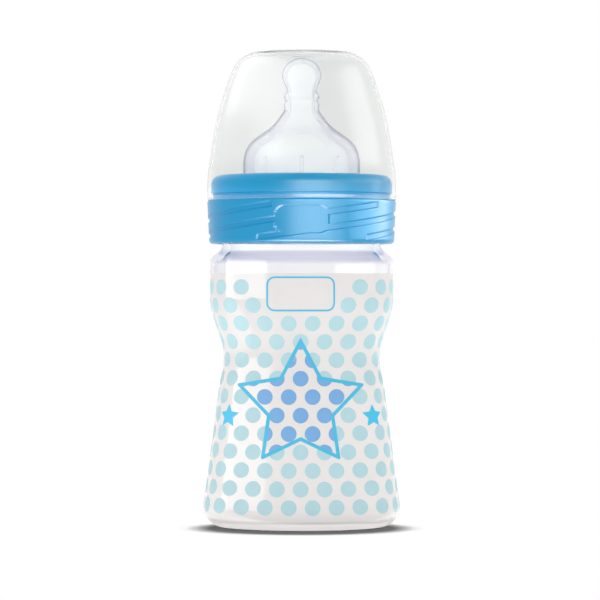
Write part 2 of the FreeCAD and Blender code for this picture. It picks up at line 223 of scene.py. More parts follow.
def spline(stations, first_way, last_way, steps=40):
    """Smooth curve through stations, with its direction given at both ends."""
    knots = np.array(stations, float)
    chords = np.linalg.norm(np.diff(knots, axis=0), axis=1)
    count = len(knots)
    system = np.zeros((count, count))
    wanted = np.zeros((count, 2))
    system[0, 0] = system[-1, -1] = 1
    wanted[0] = unit(first_way)
    wanted[-1] = unit(last_way)
    for index in range(1, count - 1):
        before, after = chords[index - 1], chords[index]
        system[index, index - 1] = after
        system[index, index] = 2 * (before + after)
        system[index, index + 1] = before
        rise = after * (knots[index] - knots[index - 1]) / before
        wanted[index] = 3 * (rise + before * (knots[index + 1] - knots[index]) / after)
    ways = np.linalg.solve(system, wanted)
    places = np.concatenate([[0], np.cumsum(chords)])
    points = []
    for share in np.linspace(0, places[-1], steps + 1):
        index = min(int(np.searchsorted(places, share, side="right")) - 1, count - 2)
        length = chords[index]
        t = (share - places[index]) / length
        points.append(
            (2 * t**3 - 3 * t**2 + 1) * knots[index]
            + (t**3 - 2 * t**2 + t) * length * ways[index]
            + (3 * t**2 - 2 * t**3) * knots[index + 1]
            + (t**3 - t**2) * length * ways[index + 1]
        )
    return points


def inset(points, first_wall, last_wall):
    """Points on the left of a curve, at a wall thickness that changes evenly along it."""
    ways = np.gradient(np.array(points), axis=0)
    moved = []
    for index, (point, way) in enumerate(zip(points, ways)):
        share = index / (len(points) - 1)
        wall = first_wall + (last_wall - first_wall) * share
        moved.append(point + unit((-way[1], way[0])) * wall)
    return moved


def straight(first, last, step):
    """Points along a line, about a step apart."""
    count = max(1, round(math.dist(first, last) / step))
    return list(np.linspace(first, last, count + 1))


def relieved(points, relief):
    """Points of an outline with a relief, which gives their radius at some turns."""
    return [(radius, z, relief) for radius, z in points]


def even_turns(count):
    return np.linspace(0, math.tau, count, endpoint=False)


# Meshes

def spot(radius, turn, z):
    """Place in metres at a radius, a turn and a height in millimetres."""
    return (radius * math.cos(turn) * MM, radius * math.sin(turn) * MM, z * MM)


def shown(name, content):
    """Object with some content, put in the scene."""
    holder = bpy.data.objects.new(name, content)
    bpy.context.scene.collection.objects.link(holder)
    return holder


def mesh_piece(name, places, faces, sharp=32):
    """Object with smooth faces, sharp only along edges steeper than an angle."""
    mesh = bpy.data.meshes.new(name)
    mesh.from_pydata(places, [], faces)
    work = bmesh.new()
    work.from_mesh(mesh)
    bmesh.ops.remove_doubles(work, verts=work.verts, dist=1e-8)
    bmesh.ops.recalc_face_normals(work, faces=work.faces)
    work.to_mesh(mesh)
    work.free()
    mesh.shade_smooth()
    mesh.set_sharp_from_angle(angle=math.radians(sharp))
    return shown(name, mesh)


def faces_between(pairs):
    """Faces between pairs of closed rings of corners, where a ring may be a single point."""
    faces = []
    for low, high in pairs:
        count = max(len(low), len(high))
        for step in range(count if count > 1 else 0):
            after = (step + 1) % count
            if len(low) == 1:
                faces.append((low[0], high[after], high[step]))
            elif len(high) == 1:
                faces.append((low[step], low[after], high[0]))
            else:
                faces.append((low[step], low[after], high[after], high[step]))
    return faces


def turned(outline, turns, closed=False):
    """Places and faces of an outline turned round the Z axis. Its points can have a relief."""
    places, rings = [], []
    for radius, z, *relief in outline:
        first = len(places)
        if radius < AXIS:
            places.append((0.0, 0.0, z * MM))
            rings.append([first])
            continue
        reach = relief[0](turns, radius, z) if relief else [radius] * len(turns)
        places += [spot(out, turn, z) for turn, out in zip(turns, reach)]
        rings.append(list(range(first, len(places))))
    pairs = list(zip(rings, rings[1:]))
    if closed:
        pairs.append((rings[-1], rings[0]))
    return places, faces_between(pairs)


def thread_height(turns, z, low, count):
    """Height of a right-hand thread at some turns and one height, zero beside it."""
    height = np.zeros(len(turns))
    run = count * math.tau
    for lap in range(math.ceil(count) + 1):
        along = (turns - THREAD_START) % math.tau + lap * math.tau
        beside = np.abs(z - low - THREAD_LEAD * along / math.tau)
        flank = (THREAD_FOOT_HALF - beside) / (THREAD_FOOT_HALF - THREAD_CREST_HALF)
        ramp = np.minimum(along, run - along) / THREAD_RAMP
        height = np.maximum(height, np.clip(flank, 0, 1) * np.clip(ramp, 0, 1))
    return height * THREAD_H


def neck_thread(turns, radius, z):
    return radius + thread_height(turns, z, NECK_THREAD_Z, NECK_THREAD_TURNS)


def collar_thread(turns, radius, z):
    return radius - thread_height(turns, z, COLLAR_THREAD_Z, COLLAR_THREAD_TURNS)


def body_side(wall):
    """Side of the bottle from the flare up to the band, moved in by a wall."""
    stations = [
        (FLARE_TOP[0] - wall, FLARE_TOP[1]),
        (WAIST[0] - wall, WAIST[1]),
        ((WAIST[0] + BAND_R) / 2 - wall, (WAIST[1] + BAND_FOOT_Z) / 2),
        (BAND_R - wall, BAND_FOOT_Z),
    ]
    return spline(stations, (FLARE_TOP[0] - FOOT_R, FLARE_TOP[1]), UP, 48)


def body_outside():
    """Outer side of the bottle from its heel up to the start of the shoulder's round."""
    heel = rounded([(PUSH_R + PUSH_SLOPE + JOIN, 0, 0), (FOOT_R, 0, HEEL_ROUND), (*FLARE_TOP, 0)], 14)
    flare = straight(heel[-2], heel[-1], FLARE_STEP)
    return heel[1:-2] + flare[:-1] + body_side(0)


def bottle_wall():
    """Bottle with its heel, waist, shoulder, threaded neck and raised base, as one clear wall."""
    base = rounded([
        (0, PUSH_H, 0),
        (PUSH_R, PUSH_H, PUSH_ROUND),
        (PUSH_R + PUSH_SLOPE, 0, PUSH_ROUND),
        (PUSH_R + PUSH_SLOPE + JOIN, 0, 0),
    ])
    shoulder = rounded([
        (BAND_R, BAND_FOOT_Z, 0),
        (BAND_R, BODY_H, SHOULDER_ROUND),
        (NECK_R, NECK_FOOT_Z, NECK_FOOT_ROUND),
        (NECK_R, NECK_FOOT_Z + NECK_CURVE_H, 0),
    ], 12)
    neck = straight(shoulder[-1], (NECK_R, RIM_Z - RIM_ROUND), NECK_STEP)
    rim = rounded([
        (NECK_R, RIM_Z - 2 * RIM_ROUND, 0),
        (NECK_R, RIM_Z, RIM_ROUND),
        (NECK_BORE_R, RIM_Z, RIM_ROUND),
        (NECK_BORE_R, NECK_FOOT_Z - BODY_WALL, NECK_FOOT_ROUND / 2),
        (BAND_R - BODY_WALL, BODY_H - BODY_WALL, SHOULDER_ROUND - BODY_WALL),
        (BAND_R - BODY_WALL, BAND_FOOT_Z, 0),
    ])
    outline = (
        base[:-1] + body_outside() + shoulder[1:-1] + relieved(neck, neck_thread)
        + rim[2:] + inside_wall()[1:]
    )
    return mesh_piece("bottle_wall", *turned(outline, even_turns(BODY_STEPS)))


def inside_wall():
    """Inner side of the bottle from the band down to the middle of its floor."""
    slope = (FOOT_R - FLARE_TOP[0]) / FLARE_TOP[1]
    floor = rounded([
        (FLARE_TOP[0] - BODY_WALL, FLARE_TOP[1], 0),
        (FOOT_R - BODY_WALL - FLOOR_THICK * slope, FLOOR_THICK, HEEL_ROUND - BODY_WALL),
        (PUSH_R + PUSH_SLOPE, FLOOR_THICK, PUSH_ROUND),
        (PUSH_R, PUSH_H + FLOOR_THICK, PUSH_ROUND),
        (0, PUSH_H + FLOOR_THICK, 0),
    ], 12)
    return body_side(BODY_WALL)[::-1] + floor[1:]


def plate_depth(turns, radius, z):
    """Depth of the plain plate sunk into the front of the grip."""
    across = radius * np.sin(turns - FRONT)
    facing = np.cos(turns - FRONT) > 0
    beyond = np.maximum(np.abs(across) - (PLATE_HALF_W - PLATE_ROUND), 0)
    above = max(abs(z - PLATE_Z) - (PLATE_HALF_H - PLATE_ROUND), 0)
    outside = np.hypot(beyond, above) - PLATE_ROUND
    return np.where(facing, np.clip(-outside / PLATE_EDGE, 0, 1), 0) * GROOVE_DEPTH


def grip_relief(turns, radius, z):
    """Radius of the grip with its climbing grooves and the plain plate."""
    climb = LEDGE_Z - COLLAR_FOOT_Z - 2 * GROOVE_MARGIN
    run = climb / (GRIP_R * GROOVE_SLOPE)
    depth = plate_depth(turns, radius, z)
    for index in range(GROOVE_COUNT):
        start = GROOVE_END + math.tau * index / GROOVE_COUNT - run
        along = (turns - start) % math.tau
        beside = np.abs(z - COLLAR_FOOT_Z - GROOVE_MARGIN - GRIP_R * GROOVE_SLOPE * along)
        wall = (GROOVE_HALF - beside) / (GROOVE_HALF - GROOVE_FLOOR_HALF)
        end = np.minimum(along, run - along) * GRIP_R / GROOVE_RUN_OUT
        depth = np.maximum(depth, np.clip(wall, 0, 1) * np.clip(end, 0, 1) * GROOVE_DEPTH)
    return radius - depth


def collar_ring():
    """Screw collar with its inner thread, grip grooves, ledge, crown and sunk top."""
    foot = rounded([
        (COLLAR_BORE_R, COLLAR_FOOT_Z + 2 * JOIN, 0),
        (COLLAR_BORE_R, COLLAR_FOOT_Z, SKIRT_ROUND),
        (GRIP_R - GRIP_TAPER, COLLAR_FOOT_Z, GRIP_FOOT_ROUND),
        (GRIP_R, LEDGE_Z, LEDGE_ROUND),
        (SNAP_GROOVE_R, LEDGE_Z, 0),
    ], 6)
    longest = max(range(len(foot) - 1), key=lambda k: math.dist(foot[k], foot[k + 1]))
    grip = straight(foot[longest], foot[longest + 1], GRIP_STEP)
    crown = rounded([
        (SNAP_GROOVE_R, LEDGE_Z, 0),
        (SNAP_GROOVE_R, SNAP_GROOVE_TOP_Z, SEAT_ROUND),
        (CROWN_R, SNAP_GROOVE_TOP_Z, CROWN_FOOT_ROUND),
        (CROWN_R, COLLAR_TOP_Z, CROWN_ROUND),
        (RECESS_R, COLLAR_TOP_Z, EDGE_ROUND),
        (RECESS_R, CEILING_TOP_Z, EDGE_ROUND),
        (HOLE_R, CEILING_TOP_Z, EDGE_ROUND),
        (HOLE_R, CEILING_Z, SEAT_ROUND),
        (COLLAR_BORE_R, CEILING_Z, SEAT_ROUND),
        (COLLAR_BORE_R, CEILING_Z - JOIN, 0),
    ], 8)
    bore = straight((COLLAR_BORE_R, CEILING_Z - JOIN), foot[0], BORE_STEP)
    outline = (
        foot[1:longest] + relieved(grip, grip_relief) + foot[longest + 2:-1]
        + crown[:-1] + relieved(bore, collar_thread)
    )
    return mesh_piece("collar_ring", *turned(outline, even_turns(COLLAR_STEPS), closed=True))


def rib_relief(turns, radius, z):
    """Bore of the teat with its upright ribs."""
    reach = np.full(len(turns), radius)
    if not RIB_LOW_Z < z < RIB_HIGH_Z:
        return reach
    step = math.tau / RIB_COUNT
    beside = np.abs((turns - FRONT + step / 2) % step - step / 2) * TEAT_BORE_R
    return np.where(beside < RIB_HALF_W + CLOSE, np.minimum(reach, RIB_CREST_R), reach)


def teat_shell():
    """Teat with its flange, seal lip, bead, ringed nipple, feed hole and inner ribs."""
    neck_bore = NIPPLE_NECK_R - TEAT_WALL
    bulb_z = TIP_Z - BULB_R
    foot_z = TIP_Z - NIPPLE_FOOT_DROP
    lip_r = SEAL_R - SEAL_W
    base = rounded([
        (TEAT_BORE_R, RIM_Z + JOIN, 0),
        (TEAT_BORE_R, RIM_Z, FLANGE_ROUND),
        (lip_r, RIM_Z, FLANGE_ROUND),
        (lip_r, RIM_Z - SEAL_H, FLANGE_ROUND),
        (SEAL_R, RIM_Z - SEAL_H, FLANGE_ROUND),
        (SEAL_R, RIM_Z, 0),
        (FLANGE_R, RIM_Z, FLANGE_ROUND),
        (FLANGE_R, CEILING_Z, FLANGE_ROUND),
        (STEM_R, CEILING_Z, 0),
        (STEM_R, BEAD_Z, 0),
        (BEAD_R, BEAD_Z, BEAD_ROUND),
        (BEAD_R, BEAD_Z + BEAD_H, BEAD_ROUND),
        (TEAT_BASE_R, BEAD_Z + BEAD_H, BEAD_ROUND),
        (TEAT_BASE_R, TEAT_DOME_Z, 0),
    ], 5)
    foot = (NIPPLE_FOOT_R, foot_z)
    flare = [(radius, TIP_Z - drop) for radius, drop in TEAT_FLARE]
    shoulder = spline([(TEAT_BASE_R, TEAT_DOME_Z)] + flare + [foot], UP, UP, 48)
    nipple = spline([
        foot,
        (RING_R, TIP_Z - RING_DROPS[1]),
        (RING_DIP_R, TIP_Z - sum(RING_DROPS) / 2),
        (RING_R, TIP_Z - RING_DROPS[0]),
        (NIPPLE_NECK_R, TIP_Z - NIPPLE_NECK_DROP),
        (BULB_R, bulb_z),
    ], UP, UP, 44)
    lifts = np.linspace(0, 1, 18)
    inner_r = BULB_R - TEAT_WALL
    outer_tip, inner_tip = (
        arc((0, bulb_z), radius, lifts * math.acos(FEED_HOLE_R / radius)) for radius in (BULB_R, inner_r))
    inner_bulb = spline([(inner_r, bulb_z), (neck_bore, TIP_Z - NIPPLE_NECK_DROP)], DOWN, DOWN, 14)
    hollow = inset(shoulder, TEAT_BASE_WALL, NIPPLE_FOOT_R - neck_bore)[::-1]
    bore = straight((TEAT_BORE_R, TEAT_DOME_Z), (TEAT_BORE_R, RIM_Z + JOIN), TEAT_STEP)
    bore += [np.array((TEAT_BORE_R, RIB_LOW_Z + shift)) for shift in (RIB_FOOT_EDGE, -RIB_FOOT_EDGE)]
    bore.sort(key=lambda point: -point[1])
    outline = (
        base[1:] + shoulder[1:] + nipple[1:] + outer_tip[1:] + inner_tip[::-1] + inner_bulb[1:]
        + relieved(hollow[:-1] + bore[:-1], rib_relief)
    )
    step = math.tau / RIB_COUNT
    edges = np.array([-RIB_HALF_W - RIB_SIDE, -RIB_HALF_W, RIB_HALF_W, RIB_HALF_W + RIB_SIDE]) / TEAT_BORE_R
    between = np.linspace(edges[-1], step + edges[0], 14)[1:-1]
    turns = np.concatenate([FRONT + step * k + np.concatenate([edges, between]) for k in range(RIB_COUNT)])
    places, faces = turned(outline, turns, closed=True)
    nib = [
        (VALVE_HOLE_R, RIM_Z + VALVE_ROOT),
        (VALVE_HOLE_R, RIM_Z - VALVE_H),
        (VALVE_TIP_R - VALVE_EDGE, RIM_Z - VALVE_H),
        (VALVE_TIP_R, RIM_Z - VALVE_H + VALVE_EDGE),
        (VALVE_TOP_R, RIM_Z + VALVE_ROOT),
    ]
    nib_places, nib_faces = turned(nib, even_turns(VALVE_STEPS), closed=True)
    shift = len(places)
    places += [(x, y + VALVE_Y * MM, z) for x, y, z in nib_places]
    faces += [tuple(shift + corner for corner in face) for face in nib_faces]
    return mesh_piece("teat_shell", places, faces)


def snap_relief(turns, radius, z):
    """Bore of the cap with its small snap bumps."""
    if not SNAP_LOW_Z - CLOSE < z < SNAP_HIGH_Z + CLOSE:
        return np.full(len(turns), radius)
    step = math.tau / SNAP_COUNT
    return np.where(turns % step <= SNAP_SPAN, radius - SNAP_REACH, radius)


def cap_dome():
    """Clear dome cap with its snap bumps and the small gate mark of its mould."""
    rim_r = CAP_BORE_R + CAP_WALL
    side = spline([(rim_r, CAP_STRAIGHT_Z), *CAP_SIDE, (CAP_TOP_R, CAP_TOP_Z)], UP, INWARD, 64)
    inner_side = inset(side, CAP_WALL, CAP_WALL)[::-1]
    rim = rounded([
        (CAP_BORE_R, LEDGE_Z + JOIN, 0),
        (CAP_BORE_R, LEDGE_Z, CAP_RIM_ROUND),
        (rim_r, LEDGE_Z, CAP_RIM_ROUND),
        (rim_r, CAP_STRAIGHT_Z, 0),
    ], 5)
    snap = (SNAP_HIGH_Z + SNAP_SIDES[0], SNAP_HIGH_Z, SNAP_LOW_Z, SNAP_LOW_Z - SNAP_SIDES[1])
    bore = [(CAP_BORE_R, z) for z in (CAP_STRAIGHT_Z - JOIN, *snap)]
    top = [(CAP_TOP_R * share, CAP_TOP_Z) for share in CAP_TOP_SHARES]
    gate = [(radius, CAP_TOP_Z - depth) for radius, depth in GATE]
    ceiling = [(0.0, CAP_TOP_Z - CAP_WALL)]
    ceiling += [(CAP_TOP_R * share, CAP_TOP_Z - CAP_WALL) for share in CAP_TOP_SHARES[::-1]]
    outline = ceiling + inner_side + relieved(bore, snap_relief) + rim[1:-1] + side + top + gate
    return mesh_piece("cap_dome", *turned(outline, even_turns(CAP_STEPS)))


# The print on the body

OUTSIDE = np.array(body_outside() + [(BAND_R, BODY_H - SHOULDER_ROUND)])
FIELD_LOW_Z = 0.3
FIELD_HIGH_Z = 77.0
FIELD_LIFT = (0.02, 0.06)
DOT_LIFT = (0.04, 0.095)
PATCH_LIFT = (0.07, 0.125)
MOTIF_LIFT = (0.1, 0.15)
STROKE_LIFT = (0.1, 0.17)
PRINT_MIDDLE_X = -0.3
WRAP_STRETCH = 1.5
WRAP_EASE = 0.5
DOT_R = 2.33
DOT_PITCH = 7.1
DOT_ROWS = 13
DOT_COLUMNS = 10
DOT_LOW_Z = 7.2
DOT_HIGH_Z = 72.9
DOT_STOP = math.radians(138)
STAR_Z = 37.6
STAR_R = 20.25
STAR_INNER = 0.52
STAR_STROKE = 1.05
LEAST_DOT = 0.3
DOT_STEPS = 32
CUT_DOT_STEPS = 40
TRY_STEPS = 24
TRY_SHARES = (0.3, 0.6, 0.85)
STAR_TIP_ROUND = 0.45
SMALL_STAR_R = 3.6
SMALL_STAR_INNER = 0.5
SMALL_STAR_PLACES = ((-22.3, 34.1), (21.6, 34.1))
NAME_FIELD_Z = 70.8
NAME_FIELD_HALF_W = 10.2
NAME_FIELD_HALF_H = 5.2
NAME_FIELD_ROUND = 2.4
NAME_FIELD_LINE = 0.5
NAME_FIELD_GAP = 0.4
LEAST_ROUND = 0.03
SMALL_STAR_ROUND = 0.1
FIELD_JOIN_Z = 73.0
FIELD_STEP = 0.05


def radius_at(outline, z):
    rising = outline[np.argsort(outline[:, 1])]
    return np.interp(z, rising[:, 1], rising[:, 0])


def body_radius(z):
    return float(radius_at(OUTSIDE, z))


def print_turn(across, radius):
    """Turn from the front of a print that looks flat there and wraps on round the sides."""
    share = abs(across) / radius
    flat = math.sqrt(1 - 1 / WRAP_STRETCH**2)
    beyond = max(share - flat, 0)
    eased = min(beyond, WRAP_EASE)
    turn = math.asin(min(share, flat)) + beyond
    turn += (WRAP_STRETCH - 1) * (eased - eased**2 / (2 * WRAP_EASE))
    return math.copysign(turn, across)


def on_body(place, lift, level=None):
    """Place on the bottle's skin of a print's place across and up, wrapped as at a level."""
    across, z = place
    radius = body_radius(z) + lift
    turn = FRONT + print_turn(across, body_radius(z if level is None else level))
    return spot(radius, turn, z)


def tablet(places, faces, loops, lift, level=None):
    """Adds a thin closed ink shape that follows the skin, from loops of places, outermost first."""
    sides = []
    for height in lift:
        rings = []
        for loop in loops:
            first = len(places)
            places += [on_body(place, height, level) for place in loop]
            rings.append(list(range(first, len(places))))
        sides.append(rings)
    bands = [(sides[0][0], sides[1][0])]
    if len(loops[-1]) > 1:
        bands.append((sides[1][-1], sides[0][-1]))
    for rings in sides:
        bands += zip(rings, rings[1:])
    faces += faces_between(bands)


def star_corners(middle, radius, inner_share):
    """Corners of an upright five-pointed star, anticlockwise from its top."""
    corners = []
    for point in range(10):
        reach = radius if point % 2 == 0 else radius * inner_share
        turn = math.pi / 2 + math.pi * point / 5
        corners.append(middle + reach * np.array((math.cos(turn), math.sin(turn))))
    return corners


def box_corners(middle, half_w, half_h):
    sides = ((-1, -1), (1, -1), (1, 1), (-1, 1))
    return [middle + np.array((x * half_w, y * half_h)) for x, y in sides]


def moved_in(corners, width):
    """Corners of an anticlockwise outline moved in by a width."""
    moved = []
    for index, corner in enumerate(corners):
        back = corner - corners[index - 1]
        ahead = corners[(index + 1) % len(corners)] - corner
        back_side = unit((-back[1], back[0]))
        ahead_side = unit((-ahead[1], ahead[0]))
        moved.append(corner + (back_side + ahead_side) * width / (1 + np.dot(back_side, ahead_side)))
    return moved


def closed_loop(corners, rounding, cuts):
    """Closed outline with rounded corners and its edges cut up, so that it can follow the skin."""
    count = len(corners)
    bends = []
    for index in range(count):
        trio = (corners[index - 1], corners[index], corners[(index + 1) % count])
        bends.append(rounded([(*place, max(rounding, LEAST_ROUND)) for place in trio], 4)[1:-1])
    loop = []
    for index, bend in enumerate(bends):
        after = bends[(index + 1) % count][0]
        edge = list(np.linspace(bend[-1], after, cuts + 1)[1:-1])
        loop += [tuple(place) for place in bend + edge]
    return loop


def shrunk(loop, middle, shares):
    """Loop drawn in towards a middle in steps, down to a point."""
    middle = np.array(middle)
    rings = [[tuple(middle + (place - middle) * share) for place in loop] for share in shares]
    return rings + [[tuple(middle)]]


STAR_MIDDLE = (PRINT_MIDDLE_X, STAR_Z)
STAR = star_corners(STAR_MIDDLE, STAR_R, STAR_INNER)
STAR_EDGES = [(corner, after - corner) for corner, after in zip(STAR, STAR[1:] + STAR[:1])]


def reach_to_star(place, turn):
    """Distance from a place to the first edge of the large star in a direction."""
    way = np.array((math.cos(turn), math.sin(turn)))
    nearest = math.inf
    for corner, edge in STAR_EDGES:
        across = way[0] * edge[1] - way[1] * edge[0]
        if abs(across) < 1e-9:
            continue
        gap = corner - place
        distance = (gap[0] * edge[1] - gap[1] * edge[0]) / across
        share = (gap[0] * way[1] - gap[1] * way[0]) / across
        if distance > 0 and 0 <= share <= 1:
            nearest = min(nearest, distance)
    return nearest


def depth_in_star(place):
    """Clearance of a place inside the large star, negative outside it."""
    clearance = math.inf
    for corner, edge in STAR_EDGES:
        share = np.clip(np.dot(place - corner, edge) / np.dot(edge, edge), 0, 1)
        clearance = min(clearance, float(np.linalg.norm(place - corner - share * edge)))
    out = place - np.array(STAR_MIDDLE)
    beyond = np.linalg.norm(out) > reach_to_star(STAR_MIDDLE, math.atan2(out[1], out[0]))
    return -clearance if beyond else clearance


def dot_in_star(middle):
    """Part of a dot inside the large star, as a middle and a loop, or nothing."""
    tries = [(0.0, 0.0)]
    for share in TRY_SHARES:
        tries += arc((0.0, 0.0), share * DOT_R, even_turns(TRY_STEPS))
    rooms = []
    for x, z in tries:
        place = (middle[0] + x, middle[1] + z)
        rooms.append((min(DOT_R - math.hypot(x, z), depth_in_star(place)), place))
    room, inside = max(rooms)
    if room < STAR_STROKE * LEAST_DOT:
        return None
    loop = []
    off = np.array(inside) - middle
    for turn in even_turns(CUT_DOT_STEPS):
        way = np.array((math.cos(turn), math.sin(turn)))
        along = float(np.dot(off, way))
        to_rim = -along + math.sqrt(along**2 + DOT_R**2 - float(np.dot(off, off)))
        loop.append(tuple(inside + way * min(to_rim, reach_to_star(inside, turn))))
    return inside, loop


def dot_middles():
    """Middles of the staggered dots, none at the name field, the small stars and the back."""
    middles = []
    for row in range(DOT_ROWS):
        z = DOT_HIGH_Z + (DOT_LOW_Z - DOT_HIGH_Z) * row / (DOT_ROWS - 1)
        shift = 0.5 if row % 2 == 0 else 0.0
        for column in range(-DOT_COLUMNS, DOT_COLUMNS + 1):
            across = PRINT_MIDDLE_X + (column + shift) * DOT_PITCH
            if abs(print_turn(across, body_radius(z))) > DOT_STOP:
                continue
            beside = max(abs(across - PRINT_MIDDLE_X) - NAME_FIELD_HALF_W, 0)
            above = max(abs(z - NAME_FIELD_Z) - NAME_FIELD_HALF_H, 0)
            if math.hypot(beside, above) < DOT_R + NAME_FIELD_GAP:
                continue
            if min(math.dist((across, z), place) for place in SMALL_STAR_PLACES) < SMALL_STAR_R:
                continue
            middles.append((across, z))
    return middles


def print_field():
    """White field under the print, a thin sleeve round the body."""
    points = [point for point in OUTSIDE if FIELD_LOW_Z < point[1] < FIELD_HIGH_Z]
    low = (body_radius(FIELD_LOW_Z), FIELD_LOW_Z)
    points = [np.array(low)] + points + straight((BAND_R, FIELD_JOIN_Z), (BAND_R, FIELD_HIGH_Z), BAND_STEP)
    points.sort(key=lambda point: point[1])
    kept = [points[0]]
    for point in points[1:]:
        if point[1] - kept[-1][1] > FIELD_STEP:
            kept.append(point)
    inner, outer = (inset(kept, -lift, -lift) for lift in FIELD_LIFT)
    return mesh_piece("print_field", *turned(outer + inner[::-1], even_turns(BODY_STEPS), closed=True))


def print_shapes():
    """Dots, the large star's ground, dots and outline, the small stars and the name field's line."""
    dots, ground, star_dots, stroke, small, line = ([[], []] for _ in range(6))
    for middle in dot_middles():
        depth = depth_in_star(middle)
        if depth < DOT_R:
            loop = arc(middle, DOT_R, even_turns(DOT_STEPS))
            tablet(*dots, shrunk(loop, middle, (1.0, 0.75, 0.4)), DOT_LIFT, middle[1])
        if depth > -DOT_R:
            part = dot_in_star(middle)
            if part:
                tablet(*star_dots, shrunk(part[1], part[0], (1.0, 0.55)), MOTIF_LIFT)
    edges = [closed_loop(moved_in(STAR, STAR_STROKE * s), STAR_TIP_ROUND * (1 - s), 12) for s in (0, 0.5, 1)]
    tablet(*stroke, edges, STROKE_LIFT)
    tablet(*ground, shrunk(edges[1], STAR_MIDDLE, np.linspace(1.0, 0.08, 14)), PATCH_LIFT)
    for place in SMALL_STAR_PLACES:
        loop = closed_loop(star_corners(place, SMALL_STAR_R, SMALL_STAR_INNER), SMALL_STAR_ROUND, 3)
        tablet(*small, shrunk(loop, place, (1.0, 0.66, 0.33)), MOTIF_LIFT, place[1])
    field = box_corners((PRINT_MIDDLE_X, NAME_FIELD_Z), NAME_FIELD_HALF_W, NAME_FIELD_HALF_H)
    edges = [
        closed_loop(moved_in(field, NAME_FIELD_LINE * s), NAME_FIELD_ROUND - NAME_FIELD_LINE * s, 16)
        for s in (0, 1)
    ]
    tablet(*line, edges, MOTIF_LIFT)
    return dots, ground, star_dots, stroke, small, line


# The measuring scale at the back

SCALE_STEP_ML = 10
SCALE_TOP_ML = 140
SCALE_NUMBER_ML = 30
SCALE_LONG = 9.0
SCALE_SHORT = 5.0
SCALE_LINE = 0.55
SCALE_LEFT = -9.0
SCALE_STEPS = 9
FILL_STEPS = 800
ML = 1000
NUMBER_SIZE = 4.6
NUMBER_GAP = 1.6
NUMBER_EDGE = 0.8


def filled_heights():
    """Height of the milk for each line of the scale, from the inside of the bottle."""
    levels = np.linspace(PUSH_H + FLOOR_THICK, BODY_H, FILL_STEPS)
    radii = radius_at(np.array(inside_wall()), levels)
    volume = np.concatenate([[0], np.cumsum(math.pi * radii[1:] ** 2 * np.diff(levels))]) / ML
    marks = range(SCALE_STEP_ML, SCALE_TOP_ML + 1, SCALE_STEP_ML)
    return [(mark, float(np.interp(mark, volume, levels))) for mark in marks]


def back_place(across, z, lift):
    """Place on the bottle's skin at the back, across it as seen from behind."""
    radius = body_radius(z) + lift
    turn = BACK + across / body_radius(z)
    return spot(radius, turn, z)


def scale_line(places, faces, height, length):
    """Adds one line of the scale, a thin bar that follows the skin."""
    corners = []
    for across in np.linspace(SCALE_LEFT, SCALE_LEFT + length, SCALE_STEPS):
        corners.append([len(places) + k for k in range(4)])
        for side, lift in ((-1, 0), (1, 0), (1, 1), (-1, 1)):
            places.append(back_place(across, height + side * SCALE_LINE / 2, MOTIF_LIFT[lift]))
    faces += faces_between(zip(corners, corners[1:]))
    faces += [tuple(corners[0]), tuple(corners[-1])]


def scale_number(places, faces, height, mark):
    """Adds a plain number beside a long line, cut from a flat text and laid on the skin."""
    text = bpy.data.curves.new("number", "FONT")
    text.body = str(mark)
    text.size = NUMBER_SIZE
    text.align_y = "CENTER"
    holder = bpy.data.objects.new("number", text)
    flat = bpy.data.meshes.new_from_object(holder)
    work = bmesh.new()
    work.from_mesh(flat)
    bmesh.ops.remove_doubles(work, verts=work.verts, dist=1e-5)
    bmesh.ops.triangulate(work, faces=work.faces)
    long_edges = [edge for edge in work.edges if edge.calc_length() > NUMBER_EDGE]
    bmesh.ops.subdivide_edges(work, edges=long_edges, cuts=2)
    bmesh.ops.triangulate(work, faces=work.faces)
    work.verts.index_update()
    count = len(work.verts)
    first = len(places)
    left = SCALE_LEFT + SCALE_LONG + NUMBER_GAP
    for lift in MOTIF_LIFT:
        places += [back_place(left + vert.co.x, height + vert.co.y, lift) for vert in work.verts]
    for face in work.faces:
        corners = [first + vert.index for vert in face.verts]
        faces.append(tuple(corners[::-1]))
        faces.append(tuple(corner + count for corner in corners))
    for edge in work.edges:
        if edge.is_boundary:
            one, two = (first + vert.index for vert in edge.verts)
            faces.append((one, two, two + count, one + count))
    work.free()
    bpy.data.objects.remove(holder)
    bpy.data.curves.remove(text)
    bpy.data.meshes.remove(flat)


def print_scale():
    """Lines of the scale, the long ones with a number."""
    places, faces = [], []
    for mark, height in filled_heights():
        long = mark % SCALE_NUMBER_ML == 0
        scale_line(places, faces, height, SCALE_LONG if long else SCALE_SHORT)
        if long:
            scale_number(places, faces, height, mark)
    return places, faces


# Node helpers, and the effects that finishes are made from

def feed(tree, node, slots=(), **inputs):
    """Fills inputs of a node, by number in slots or by name, with values or links.

    A node given for an input stands for its first output.
    """
    named = [(key.replace("_", " "), value) for key, value in inputs.items()]
    for key, value in [*dict(slots).items(), *named]:
        if isinstance(value, bpy.types.Node):
            value = value.outputs[0]
        if isinstance(value, bpy.types.NodeSocket):
            tree.links.new(value, node.inputs[key])
        else:
            node.inputs[key].default_value = value


def add(tree, kind, settings=None, slots=(), **inputs):
    """Node of a kind, with its settings and its inputs."""
    node = tree.nodes.new("ShaderNode" + kind)
    for key, value in (settings or {}).items():
        setattr(node, key, value)
    feed(tree, node, slots, **inputs)
    return node


def here(tree):
    return add(tree, "TexCoord").outputs["Object"]


def height_of(tree):
    return add(tree, "SeparateXYZ", Vector=here(tree)).outputs["Z"]


def noise(tree, place, scale, **more):
    return add(tree, "TexNoise", Vector=place, Scale=scale, **more)


def reckoned(tree, operation, *values):
    return add(tree, "Math", {"operation": operation}, enumerate(values))


